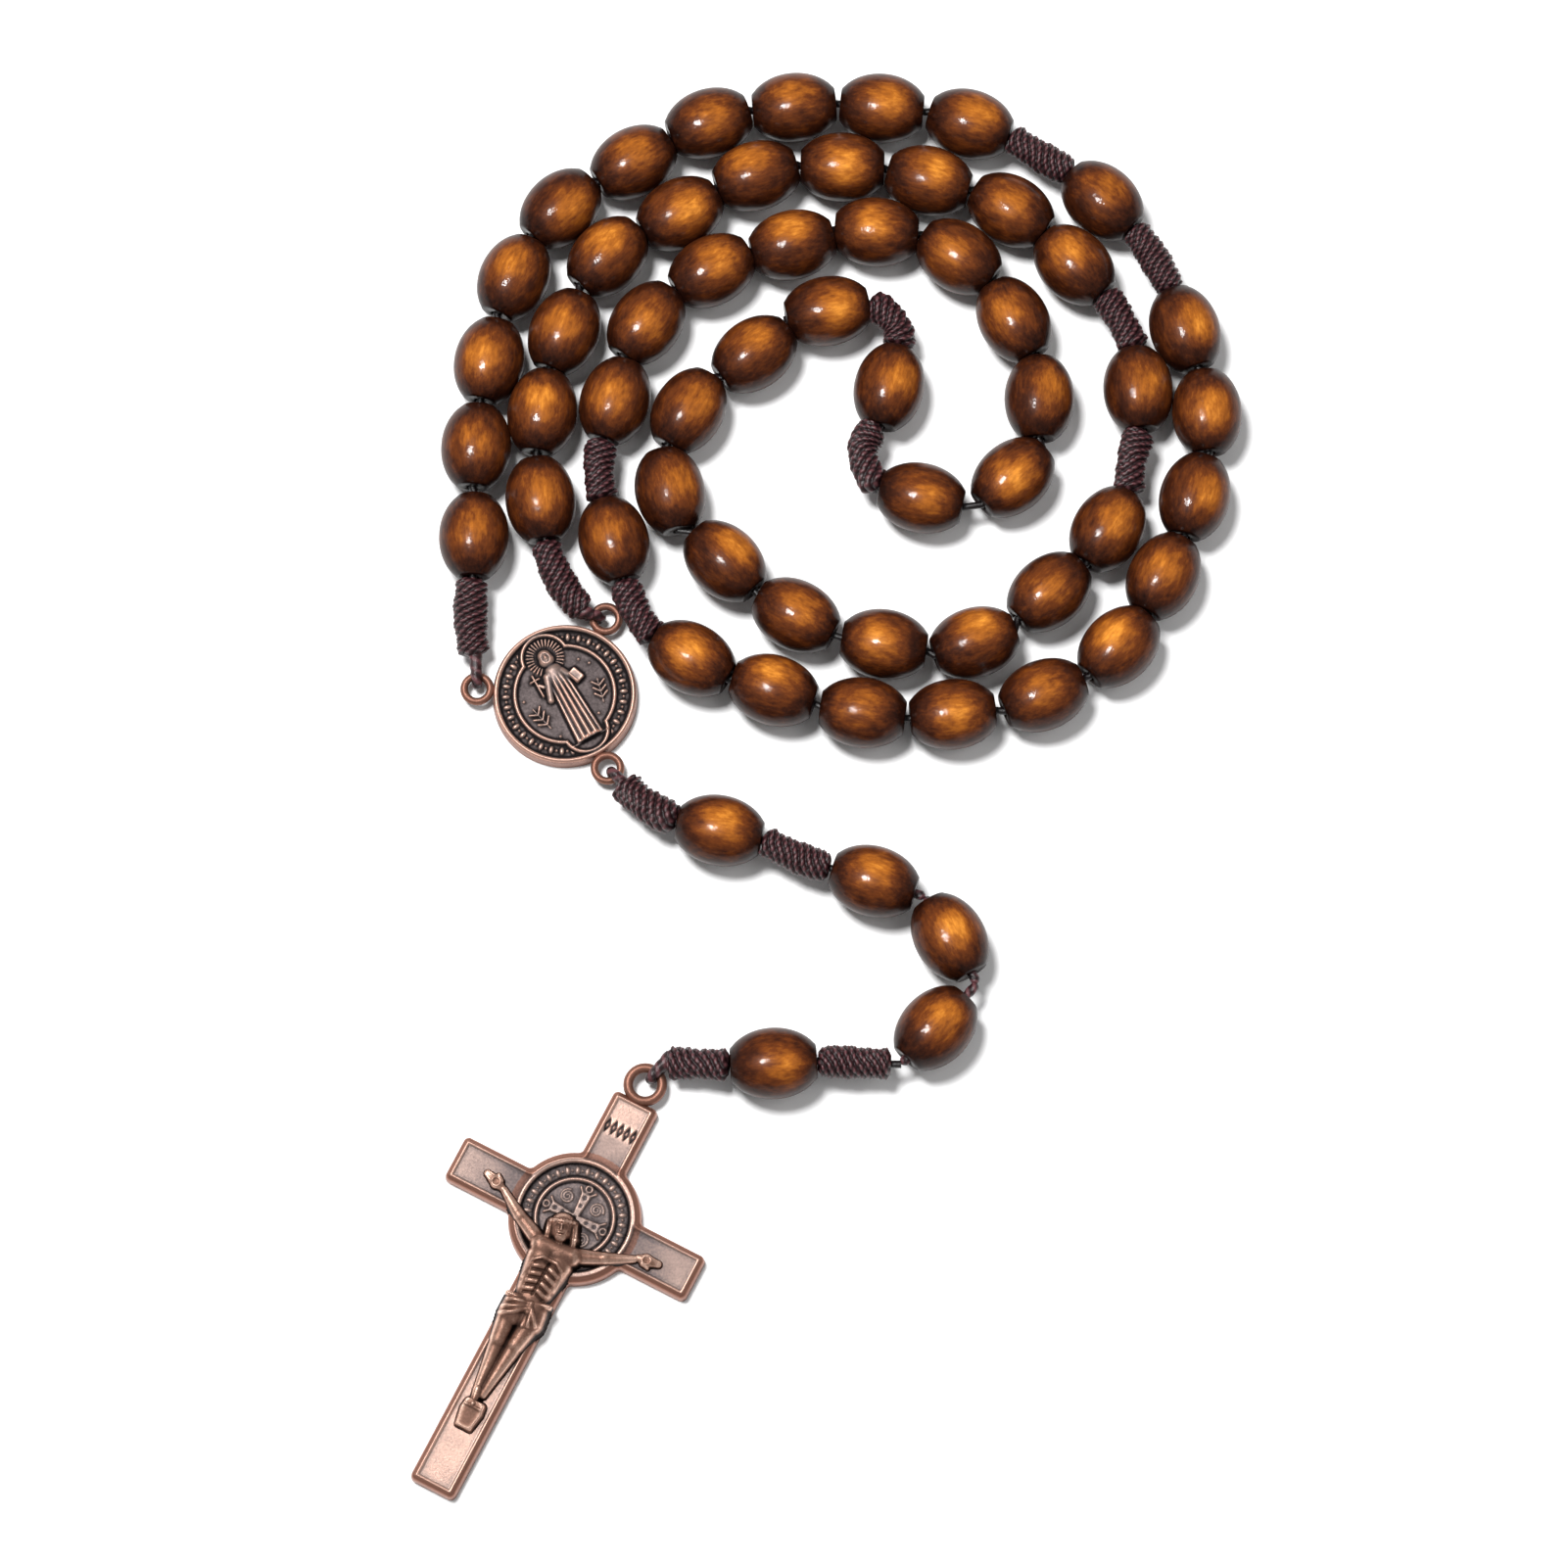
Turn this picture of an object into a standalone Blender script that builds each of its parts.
"""A five-decade rosary laid out flat: barrel beads of wood on a knotted cord, a round
medal that joins the loop to its pendant, and a crucifix with its figure.

Frame: +Z up, the beads rest on z = 0, the crucifix points towards -Y and the loop lies
towards +Y. The origin is under the middle of the whole object. Lengths are in metres.
"""

import math

import bmesh
import bpy
from mathutils import Matrix, Vector

COLLECTION = "rosary"
FRAME_SHIFT = (-0.0008, 0.00027, 0.0)
CUTTERS = "rosary_cutters"
GAP = 0.0003

# Beads: a barrel with flat mouths, which rests on the floor with its axis level.
BEAD_LENGTH = 0.00975
BEAD_RADIUS = 0.0040
BEAD_SIDES = 10
MOUTH_RADIUS = 0.0010
BORE_RADIUS = 0.0008
SHOULDER_RADIUS = 0.00215
SHOULDER_FROM_END = 0.00045
FLANK_RADIUS = 0.0035
FLANK_FROM_MIDDLE = 0.0026

# Cord and its wrapped knots.
CORD_RADIUS = 0.00045
KNOT_RADIUS = 0.00165
KNOT_CLEARANCE = 0.0004
# A knot's radius at shares of its way from start to end.
KNOT_SHAPE = (
    (0.0, CORD_RADIUS),
    (0.18, KNOT_RADIUS),
    (0.5, KNOT_RADIUS),
    (0.82, KNOT_RADIUS),
    (1.0, CORD_RADIUS),
)
EYE_INSIDE_KNOT = 0.0012
JOINT_CLEARANCE = 0.00028

# Medal: a disc with a raised rim and three rings, turned so that its upright leans left.
MEDAL_CENTRE = (-0.03015, 0.00907)
MEDAL_LEAN = math.radians(29.5)
MEDAL_RADIUS = 0.00845
MEDAL_THICKNESS = 0.0022
MEDAL_FIELD_DEPTH = 0.0003
MEDAL_RIM_WIDTH = 0.0007
MEDAL_RING_DISTANCE = 0.0102
MEDAL_RING = (0.00147, 0.00033)  # radius of the wire's middle line, radius of the wire
MEDAL_RING_HEIGHT = 0.00155
MEDAL_RING_TURNS = {
    "left": math.radians(57.0),
    "right": math.radians(-57.0),
    "bottom": math.radians(180.0),
}

# Crucifix: a Latin cross with a round boss behind the figure and one ring.
CROSS_CENTRE = (-0.0285, -0.0525)
CROSS_LEAN = math.radians(-27.3)
CROSS_TOP = 0.0154
CROSS_BOTTOM = 0.0348
CROSS_HALF_SPAN = 0.0155
BAR_HALF_WIDTH = 0.00285
CROSS_THICKNESS = 0.0022
BOSS_RADIUS = 0.00765
BOSS_RIM_WIDTH = 0.0013
BOSS_FIELD_DEPTH = 0.0005
CROSS_RING_DISTANCE = 0.0173
CROSS_RING = (0.00190, 0.00047)
CROSS_RING_HEIGHT = 0.00170
EDGE_SOFTNESS = 0.0004

# The figure, in the cross's own plan: right of the upright and up from the crossing.
FIGURE_FLATTENING = 0.62
FIGURE_BODY = (
    (-0.0004, -0.0246, 0.0008),
    (-0.0004, -0.0222, 0.0010),
    (0.0000, -0.0190, 0.0013),
    (0.0001, -0.0160, 0.0018),
    (0.0000, -0.0122, 0.0023),
    (-0.0002, -0.0095, 0.0021),
    (-0.0003, -0.0070, 0.0021),
    (-0.0003, -0.0050, 0.0023),
    (-0.0004, -0.0036, 0.0010),
)
FIGURE_ARMS = (
    (-0.0106, -0.0004, 0.0006),
    (-0.0097, -0.0008, 0.0008),
    (-0.0082, -0.0014, 0.0006),
    (-0.0050, -0.0032, 0.0009),
    (-0.0024, -0.0044, 0.0013),
    (0.0022, -0.0040, 0.0013),
    (0.0052, -0.0024, 0.0009),
    (0.0080, -0.0013, 0.0006),
    (0.0094, -0.0008, 0.0008),
    (0.0103, -0.0006, 0.0006),
)
FIGURE_HEAD = (-0.0006, -0.0022)
FIGURE_HEAD_RADII = (0.0013, 0.0017)

# The loop's route over the table, from the medal's left ring round to its right ring:
# the middle of each bead of each decade. A bead lies along its neighbours' direction.
DECADES = (
    (
        (-0.0408, 0.0274), (-0.0407, 0.0383), (-0.0393, 0.0488), (-0.0365, 0.0591),
        (-0.0311, 0.0677), (-0.0225, 0.0735), (-0.0136, 0.0784), (-0.0035, 0.0804),
        (0.0069, 0.0803), (0.0173, 0.0783),
    ),
    (
        (0.0424, 0.0527), (0.0448, 0.0425), (0.0432, 0.0322), (0.0394, 0.0226),
        (0.0341, 0.0141), (0.0253, 0.0083), (0.0148, 0.0060), (0.0044, 0.0062),
        (-0.0059, 0.0089), (-0.0154, 0.0127),
    ),
    (
        (-0.0245, 0.0439), (-0.0209, 0.0535), (-0.0132, 0.0600), (-0.0037, 0.0632),
        (0.0062, 0.0648), (0.0159, 0.0617), (0.0223, 0.0539), (0.0252, 0.0442),
        (0.0220, 0.0346), (0.0113, 0.0321),
    ),
    (
        (0.0004, 0.0550), (-0.0082, 0.0497), (-0.0159, 0.0427), (-0.0180, 0.0329),
        (-0.0116, 0.0244), (-0.0033, 0.0179), (0.0069, 0.0144), (0.0174, 0.0146),
        (0.0261, 0.0207), (0.0330, 0.0283),
    ),
    (
        (0.0295, 0.0607), (0.0221, 0.0675), (0.0124, 0.0712), (0.0022, 0.0729),
        (-0.0080, 0.0718), (-0.0170, 0.0671), (-0.0255, 0.0617), (-0.0305, 0.0524),
        (-0.0330, 0.0425), (-0.0331, 0.0318),
    ),
)
# Between two decades: the middle of a knot, of a divider bead and of the next knot.
DIVIDERS = (
    ((0.0256, 0.0743), (0.0329, 0.0687), (0.0390, 0.0614)),
    ((-0.0218, 0.0182), (-0.0245, 0.0269), (-0.0263, 0.0355)),
    ((0.0045, 0.0377), (0.0076, 0.0456), (0.0083, 0.0536)),
    ((0.0360, 0.0369), (0.0368, 0.0453), (0.0348, 0.0541)),
)
# The loop's end knots: the middle, and where it stops short of its ring.
LEFT_KNOT = ((-0.0411, 0.0175, 0.0032), (-0.0405, 0.0132, 0.0024))
RIGHT_KNOT = ((-0.0308, 0.0224, 0.0034), (-0.0284, 0.0188, 0.0024))

# Pendant beads from the medal to the crucifix: x, y and heading of the strand.
PENDANT_BEADS = (
    (-0.0121, -0.0078, math.radians(-12.0)),
    (0.0056, -0.0138, math.radians(-17.0)),
    (0.0143, -0.0204, math.radians(-60.0)),
    (0.0126, -0.0310, math.radians(-133.0)),
    (-0.0059, -0.0351, math.radians(-177.0)),
)
# The pendant's knots, between which the beads hang.
FIRST_KNOT = ((-0.0230, -0.0021, 0.0024), (-0.0208, -0.0044, 0.0034))
SECOND_KNOT_MIDDLE = (-0.0033, -0.0109)
TAIL_KNOT_START = (0.0075, -0.0352)
TAIL_HEADING = math.radians(179.0)
LAST_KNOT = ((-0.0150, -0.0350, 0.0034), (-0.0184, -0.0348, 0.0025))

# How each material looks: colour, metallic value and roughness.
WOOD = ("bead_wood", (0.20, 0.075, 0.022), 0.0, 0.22)
NYLON = ("cord_nylon", (0.045, 0.014, 0.018), 0.0, 0.55)
COPPER = ("antique_copper", (0.55, 0.33, 0.25), 0.9, 0.35)


def clear_scene():
    """Remove the default objects and make the two collections."""
    for thing in list(bpy.data.objects):
        bpy.data.objects.remove(thing, do_unlink=True)
    for name in (COLLECTION, CUTTERS):
        bpy.context.scene.collection.children.link(bpy.data.collections.new(name))


def material(look):
    """Make, or find, the Principled material of one look."""
    name, colour, metallic, roughness = look
    found = bpy.data.materials.get(name)
    if found:
        return found
    made = bpy.data.materials.new(name)
    made.use_nodes = True
    shader = made.node_tree.nodes["Principled BSDF"]
    shader.inputs["Base Color"].default_value = (*colour, 1.0)
    shader.inputs["Metallic"].default_value = metallic
    shader.inputs["Roughness"].default_value = roughness
    made.diffuse_color = (*colour, 1.0)
    return made


def add_part(name, data, look, collection=COLLECTION):
    """Put mesh or curve data in the scene as one named object."""
    part = bpy.data.objects.new(name, data)
    bpy.data.collections[collection].objects.link(part)
    if not data.materials:
        data.materials.append(material(look))
    if collection == CUTTERS:
        part.hide_render = True
        part.display_type = "WIRE"
    return part


def to_mesh(source, name):
    """Turn an object's evaluated shape into welded mesh data, and remove the object."""
    bpy.context.view_layer.update()
    evaluated = source.evaluated_get(bpy.context.evaluated_depsgraph_get())
    data = bpy.data.meshes.new_from_object(evaluated)
    data.name = name
    data.transform(source.matrix_world)
    work = bmesh.new()
    work.from_mesh(data)
    bmesh.ops.remove_doubles(work, verts=work.verts, dist=1e-6)
    work.to_mesh(data)
    work.free()
    bpy.data.objects.remove(source, do_unlink=True)
    return data


def turned(name, profile, sides, look, closed=False):
    """Turn a profile of (radius, height) points, listed from top to bottom, about Z."""
    data = bpy.data.meshes.new(name)
    edges = [(i, i + 1) for i in range(len(profile) - 1)]
    if closed:
        edges.append((len(profile) - 1, 0))
    data.from_pydata([(radius, 0.0, height) for radius, height in profile], edges, [])
    piece = add_part(name, data, look, CUTTERS)
    screw = piece.modifiers.new("turn", "SCREW")
    screw.axis = "Z"
    screw.steps = sides
    screw.render_steps = sides
    screw.use_merge_vertices = True
    screw.merge_threshold = 0.00001
    return to_mesh(piece, name)


def tube(name, points, radii, look, collection=COLLECTION):
    """A tube through 3-D points whose radius follows the list of radii."""
    data = bpy.data.curves.new(name, "CURVE")
    data.dimensions = "3D"
    data.bevel_depth = 1.0
    data.bevel_resolution = 2
    data.use_fill_caps = True
    spline = data.splines.new("POLY")
    spline.points.add(len(points) - 1)
    for place, point, radius in zip(spline.points, points, radii):
        place.co = (*point, 1.0)
        place.radius = radius
    return add_part(name, data, look, collection)


def solid_tube(name, points, radii, look):
    """The same tube as welded mesh data."""
    return to_mesh(tube(name, points, radii, look, CUTTERS), name)


def ring(name, radius, wire, look):
    """A level torus at the origin."""
    bpy.ops.mesh.primitive_torus_add(
        major_segments=16, minor_segments=6, major_radius=radius, minor_radius=wire
    )
    torus = bpy.context.object
    data = torus.data
    data.name = name
    bpy.data.objects.remove(torus, do_unlink=True)
    data.materials.append(material(look))
    return data


def block(name, size, look):
    """A box of a given size, centred on the origin."""
    data = bpy.data.meshes.new(name)
    work = bmesh.new()
    bmesh.ops.create_cube(work, size=1.0, matrix=Matrix.Diagonal((*size, 1.0)))
    work.to_mesh(data)
    work.free()
    data.materials.append(material(look))
    return data


def join(part, data, look, matrix=None):
    """Unite a part with one more solid, kept as a hidden operand."""
    operand = add_part(f"{part.name}_with_{data.name}", data, look, CUTTERS)
    if matrix is not None:
        operand.matrix_world = matrix
    union = part.modifiers.new("join", "BOOLEAN")
    union.operation = "UNION"
    union.solver = "EXACT"
    union.object = operand


def smooth(data):
    """Shade round surfaces smooth and keep hard edges."""
    data.shade_smooth()
    data.set_sharp_from_angle(angle=math.radians(35.0))


def lay_beads(stations, bead_indices):
    """Beads at some of a strand's stations: x, y and the heading between neighbours."""
    beads = []
    for i in bead_indices:
        before, here, after = (Vector(stations[k]) for k in (i - 1, i, i + 1))
        along = (here - before).normalized() + (after - here).normalized()
        beads.append((here.x, here.y, math.atan2(along.y, along.x)))
    return beads


def heading_vector(heading):
    """The level unit vector along a heading."""
    return Vector((math.cos(heading), math.sin(heading), 0.0))


def middle_of(bead):
    """A bead's middle, at the height of its axis."""
    return Vector((bead[0], bead[1], BEAD_RADIUS))


def mouth(bead, side, beyond=0.0):
    """The middle of a bead's mouth: side is -1 where the strand enters, +1 where it leaves."""
    reach = BEAD_LENGTH / 2 + beyond
    return middle_of(bead) + side * reach * heading_vector(bead[2])


def bead_matrix(bead):
    """Place a bead, turned about Z, so that its axis follows its heading."""
    turn = Matrix.Rotation(bead[2], 4, "Z") @ Matrix.Rotation(math.pi / 2, 4, "Y")
    return Matrix.Translation(middle_of(bead)) @ turn


def barrel_profile():
    """The outside of a bead from top to bottom."""
    half = BEAD_LENGTH / 2
    upper = [
        (MOUTH_RADIUS, half),
        (SHOULDER_RADIUS, half - SHOULDER_FROM_END),
        (FLANK_RADIUS, FLANK_FROM_MIDDLE),
    ]
    lower = [(radius, -height) for radius, height in reversed(upper)]
    return upper + [(BEAD_RADIUS, 0.0)] + lower


def solid_bead_mesh():
    """A bead with its stretch of cord inside, as one solid."""
    half = BEAD_LENGTH / 2
    profile = [(0.0, half)] + barrel_profile() + [(0.0, -half)]
    data = turned("solid_bead", profile, BEAD_SIDES, WOOD)
    smooth(data)
    return data


def bored_bead_mesh():
    """A bead with the bore that the cord runs through."""
    half = BEAD_LENGTH / 2
    profile = barrel_profile() + [(BORE_RADIUS, -half), (BORE_RADIUS, half)]
    data = turned("bored_bead", profile, BEAD_SIDES, WOOD, closed=True)
    smooth(data)
    return data


def knot_path(start, middle, end):
    """Points and radii of a wrapped knot that starts, passes its middle and ends there."""
    bulge = 2 * middle - (start + end) / 2
    points, radii = [], []
    for t, radius in KNOT_SHAPE:
        points.append((1 - t) ** 2 * start + 2 * t * (1 - t) * bulge + t * t * end)
        radii.append(radius)
    return points, radii


def knot_between(before, middle, after):
    """A knot that fills the space between one bead's exit and the next one's entry."""
    return knot_path(
        mouth(before, 1, KNOT_CLEARANCE),
        Vector((*middle, BEAD_RADIUS)),
        mouth(after, -1, KNOT_CLEARANCE),
    )


def make_pair(name, first, second, bead_data):
    """Two neighbouring beads of a decade with the cord between them, as one solid."""
    part = add_part(name, bead_data.copy(), WOOD)
    part.matrix_world = bead_matrix(first)
    inside = BEAD_LENGTH / 10
    points = [
        mouth(first, 1, -inside),
        mouth(first, 1),
        mouth(second, -1),
        mouth(second, -1, -inside),
    ]
    join(part, solid_tube("cord", points, [CORD_RADIUS] * len(points), WOOD), WOOD)
    join(part, bead_data, WOOD, bead_matrix(second))
    return part


def make_loop(solid_data, bored_data):
    """The five decades, their dividers and the loop's two end knots."""
    stations = [LEFT_KNOT[0][:2]]
    decade_places, divider_places = [], []
    for i, decade in enumerate(DECADES):
        decade_places.append(range(len(stations), len(stations) + len(decade)))
        stations += decade
        if i < len(DIVIDERS):
            divider_places.append(len(stations) + 1)
            stations += DIVIDERS[i]
    stations.append(RIGHT_KNOT[0][:2])

    decades = [lay_beads(stations, places) for places in decade_places]
    for number, beads in enumerate(decades, start=1):
        for i in range(0, len(beads), 2):
            name = f"decade_{number}_beads_{i + 1}_{i + 2}"
            make_pair(name, beads[i], beads[i + 1], solid_data)

    for i, bead in enumerate(lay_beads(stations, divider_places)):
        part = add_part(f"divider_bead_{i + 1}", bored_data, WOOD)
        part.matrix_world = bead_matrix(bead)
        first, first_radii = knot_between(decades[i][-1], DIVIDERS[i][0], bead)
        second, second_radii = knot_between(bead, DIVIDERS[i][2], decades[i + 1][0])
        tube(
            f"divider_cord_{i + 1}",
            first + [mouth(bead, -1), mouth(bead, 1)] + second,
            first_radii + [CORD_RADIUS] * 2 + second_radii,
            NYLON,
        )

    ends = (
        ("left", mouth(decades[0][0], -1, KNOT_CLEARANCE), LEFT_KNOT),
        ("right", mouth(decades[-1][-1], 1, KNOT_CLEARANCE), RIGHT_KNOT),
    )
    for which, start, knot in ends:
        middle, end = (Vector(point) for point in knot)
        points, radii = knot_path(start, middle, end)
        centre = medal_ring_centre(which)
        tied(f"{which}_ring_cord", points, radii, end, centre, MEDAL_RING)


def place_on(centre, lean, right, up, height):
    """A world point from a place on the medal's or the cross's own plan."""
    turn = Matrix.Rotation(lean, 2)
    flat = turn @ Vector((right, up))
    return Vector((centre[0] + flat.x, centre[1] + flat.y, height))


def medal_ring_centre(which):
    """The middle of one of the medal's three rings."""
    turn = MEDAL_RING_TURNS[which]
    right = -MEDAL_RING_DISTANCE * math.sin(turn)
    up = MEDAL_RING_DISTANCE * math.cos(turn)
    return place_on(MEDAL_CENTRE, MEDAL_LEAN, right, up, MEDAL_RING_HEIGHT)


def cross_ring_centre():
    """The middle of the crucifix's ring."""
    return place_on(
        CROSS_CENTRE, CROSS_LEAN, 0.0, CROSS_RING_DISTANCE, CROSS_RING_HEIGHT
    )


def eye_points(knot_end, ring_centre, ring_size):
    """The cord's path out of a knot, over a ring's wire, through the ring and back under."""
    ring_radius, wire_radius = ring_size
    level = Vector((ring_centre.x - knot_end.x, ring_centre.y - knot_end.y, 0.0))
    along = level.normalized()
    wire = ring_centre - ring_radius * along
    reach = wire_radius + GAP + CORD_RADIUS
    apart = Vector((0.0, 0.0, CORD_RADIUS + GAP / 4))
    points = [knot_end - EYE_INSIDE_KNOT * along + apart, knot_end + apart]
    for step in range(9):
        angle = math.pi / 2 - step * math.pi / 8
        rise = Vector((0.0, 0.0, reach * math.sin(angle)))
        points.append(wire + reach * math.cos(angle) * along + rise)
    points += [knot_end - apart, knot_end - EYE_INSIDE_KNOT * along - apart]
    return points


def tied(name, points, radii, knot_end, ring_centre, ring_size):
    """A knotted cord that ends in an eye round a ring's wire."""
    part = add_part(name, solid_tube(name, points, radii, NYLON), NYLON)
    eye = eye_points(knot_end, ring_centre, ring_size)
    join(part, solid_tube("eye", eye, [CORD_RADIUS] * len(eye), NYLON), NYLON)


def disc_profile(radius, thickness, rim_width, field_depth):
    """A disc with a raised rim and softened edges, from the top's middle to the bottom's."""
    soft = EDGE_SOFTNESS / 2
    field = thickness - field_depth
    inner = radius - rim_width - soft
    return [
        (0.0, field),
        (inner - soft, field),
        (inner, thickness),
        (radius - soft, thickness),
        (radius, thickness - soft),
        (radius, soft),
        (radius - soft, 0.0),
        (0.0, 0.0),
    ]


def make_medal():
    """The medal's disc with its three rings and their lugs."""
    profile = disc_profile(
        MEDAL_RADIUS, MEDAL_THICKNESS, MEDAL_RIM_WIDTH, MEDAL_FIELD_DEPTH
    )
    data = turned("medal", profile, 28, COPPER)
    smooth(data)
    medal = add_part("medal", data, COPPER)
    medal.location = (*MEDAL_CENTRE, 0.0)
    medal.rotation_euler = (0.0, 0.0, MEDAL_LEAN)
    lug_size = (1.2 * MEDAL_RING[0], 0.0012, 1.8 * MEDAL_RING[1])
    for which, turn in MEDAL_RING_TURNS.items():
        wire = ring(f"{which}_ring", *MEDAL_RING, COPPER)
        join(medal, wire, COPPER, Matrix.Translation(medal_ring_centre(which)))
        heading = Matrix.Rotation(MEDAL_LEAN + turn, 4, "Z")
        reach = Matrix.Translation((0.0, MEDAL_RADIUS, MEDAL_RING_HEIGHT))
        centre = Matrix.Translation((*MEDAL_CENTRE, 0.0))
        lug = block(f"{which}_lug", lug_size, COPPER)
        join(medal, lug, COPPER, centre @ heading @ reach)
    return medal


def cross_plate():
    """The bars of the cross as one flat outline with softened edges."""
    data = bpy.data.curves.new("cross_outline", "CURVE")
    data.dimensions = "2D"
    data.fill_mode = "BOTH"
    data.extrude = CROSS_THICKNESS / 2 - EDGE_SOFTNESS / 2
    data.bevel_depth = EDGE_SOFTNESS / 2
    data.bevel_resolution = 0
    data.offset = -EDGE_SOFTNESS / 2
    half = BAR_HALF_WIDTH
    corners = [
        (half, CROSS_TOP),
        (half, half),
        (CROSS_HALF_SPAN, half),
        (CROSS_HALF_SPAN, -half),
        (half, -half),
        (half, -CROSS_BOTTOM),
    ]
    corners += [(-right, up) for right, up in reversed(corners)]
    spline = data.splines.new("POLY")
    spline.points.add(len(corners) - 1)
    for place, (right, up) in zip(spline.points, corners):
        place.co = (right, up, 0.0, 1.0)
    spline.use_cyclic_u = True
    outline = add_part("cross_outline", data, COPPER, CUTTERS)
    outline.location.z = CROSS_THICKNESS / 2
    return to_mesh(outline, "crucifix")


def make_crucifix():
    """The cross with its boss and ring, and the figure that lies on it."""
    plate = add_part("crucifix", cross_plate(), COPPER)
    plate.location = (*CROSS_CENTRE, 0.0)
    plate.rotation_euler = (0.0, 0.0, CROSS_LEAN)
    placed = Matrix.Translation((*CROSS_CENTRE, 0.0)) @ Matrix.Rotation(
        CROSS_LEAN, 4, "Z"
    )
    profile = disc_profile(
        BOSS_RADIUS, CROSS_THICKNESS, BOSS_RIM_WIDTH, BOSS_FIELD_DEPTH
    )
    cut_boss_seat(plate, placed)
    join(plate, turned("boss", profile, 28, COPPER), COPPER, placed)
    wire = ring("cross_ring", *CROSS_RING, COPPER)
    join(plate, wire, COPPER, Matrix.Translation(cross_ring_centre()))

    flat = Matrix.Diagonal((1.0, 1.0, FIGURE_FLATTENING, 1.0))
    face = Matrix.Translation((0.0, 0.0, CROSS_THICKNESS + GAP))
    figure_placed = placed @ face @ flat
    body = limb("corpus", FIGURE_BODY)
    body.transform(figure_placed)
    corpus = add_part("corpus", body, COPPER)
    join(corpus, limb("arms", FIGURE_ARMS), COPPER, figure_placed)
    head = bpy.data.meshes.new("head")
    work = bmesh.new()
    bmesh.ops.create_uvsphere(work, u_segments=10, v_segments=7, radius=1.0)
    work.to_mesh(head)
    work.free()
    head.materials.append(material(COPPER))
    wide, tall = FIGURE_HEAD_RADII
    head_placed = figure_placed @ Matrix.Translation((*FIGURE_HEAD, tall))
    head_placed = head_placed @ Matrix.Diagonal((wide, tall, tall, 1.0))
    join(corpus, head, COPPER, head_placed)


def limb(name, stations):
    """A tube of the figure that rests on its back, from (right, up, radius) stations."""
    points = [(right, up, radius) for right, up, radius in stations]
    return solid_tube(name, points, [radius for _, _, radius in stations], COPPER)


def cut_boss_seat(plate, placed):
    """Clear the bars away from where the boss's sunk field goes."""
    field = BOSS_RADIUS - BOSS_RIM_WIDTH
    seat = turned(
        "boss_seat",
        [
            (0.0, CROSS_THICKNESS + GAP),
            (field, CROSS_THICKNESS + GAP),
            (field, -GAP),
            (0.0, -GAP),
        ],
        28,
        COPPER,
    )
    cutter = add_part("boss_seat", seat, COPPER, CUTTERS)
    cutter.matrix_world = placed
    cut = plate.modifiers.new("seat", "BOOLEAN")
    cut.operation = "DIFFERENCE"
    cut.solver = "EXACT"
    cut.object = cutter


def meeting(first, second, reach):
    """Where the first bead's axis meets the line of what follows it: how far past the
    bead's mouth, and how far before the follower's start, which is reach from its middle."""
    start, along = mouth(first, 1), heading_vector(first[2])
    back = -heading_vector(second[2])
    across = middle_of(second) + reach * back - start
    turn = along.x * back.y - along.y * back.x
    beyond = (across.x * back.y - across.y * back.x) / turn
    before = (across.x * along.y - across.y * along.x) / turn
    return beyond, before


def make_pendant(bored_data):
    """The five pendant beads, the cords that carry them and their four knots."""
    beads = PENDANT_BEADS
    for i, bead in enumerate(beads):
        part = add_part(f"pendant_bead_{i + 1}", bored_data, WOOD)
        part.matrix_world = bead_matrix(bead)

    start = Vector(FIRST_KNOT[0])
    first, first_radii = knot_path(
        start, Vector(FIRST_KNOT[1]), mouth(beads[0], -1, KNOT_CLEARANCE)
    )
    second, second_radii = knot_between(beads[0], SECOND_KNOT_MIDDLE, beads[1])
    tied(
        "pendant_cord_1",
        first + [mouth(beads[0], -1), mouth(beads[0], 1)] + second,
        first_radii + [CORD_RADIUS] * 2 + second_radii,
        start,
        medal_ring_centre("bottom"),
        MEDAL_RING,
    )

    tail = (*TAIL_KNOT_START, TAIL_HEADING)
    before = KNOT_CLEARANCE
    for i, (bead, following) in enumerate(zip(beads[1:4], (*beads[2:4], tail))):
        reach = 0.0 if following is tail else BEAD_LENGTH / 2
        beyond, next_before = meeting(bead, following, reach)
        ends = [
            mouth(bead, -1, before - JOINT_CLEARANCE),
            mouth(bead, 1, beyond - JOINT_CLEARANCE),
        ]
        tube(f"pendant_cord_{i + 2}", ends, [CORD_RADIUS] * 2, NYLON)
        before = next_before

    along = heading_vector(TAIL_HEADING)
    knot_start = Vector((*TAIL_KNOT_START, BEAD_RADIUS))
    bare = knot_start - (before - JOINT_CLEARANCE) * along
    knot_end = mouth(beads[4], -1, KNOT_CLEARANCE)
    third, third_radii = knot_path(knot_start, (knot_start + knot_end) / 2, knot_end)
    tube(
        "pendant_cord_5",
        [bare, knot_start] + third + [mouth(beads[4], -1), mouth(beads[4], 1)],
        [CORD_RADIUS] * 2 + third_radii + [CORD_RADIUS] * 2,
        NYLON,
    )

    middle, end = (Vector(point) for point in LAST_KNOT)
    fourth, fourth_radii = knot_path(mouth(beads[4], 1, KNOT_CLEARANCE), middle, end)
    tied(
        "crucifix_cord", fourth, fourth_radii, end, cross_ring_centre(), CROSS_RING
    )


def main():
    clear_scene()
    solid_data = solid_bead_mesh()
    bored_data = bored_bead_mesh()
    make_loop(solid_data, bored_data)
    make_pendant(bored_data)
    make_medal()
    make_crucifix()
    frame = bpy.data.objects.new("rosary_frame", None)
    bpy.data.collections[COLLECTION].objects.link(frame)
    frame.location = FRAME_SHIFT
    for piece in list(bpy.data.objects):
        if piece is not frame:
            piece.parent = frame


main()
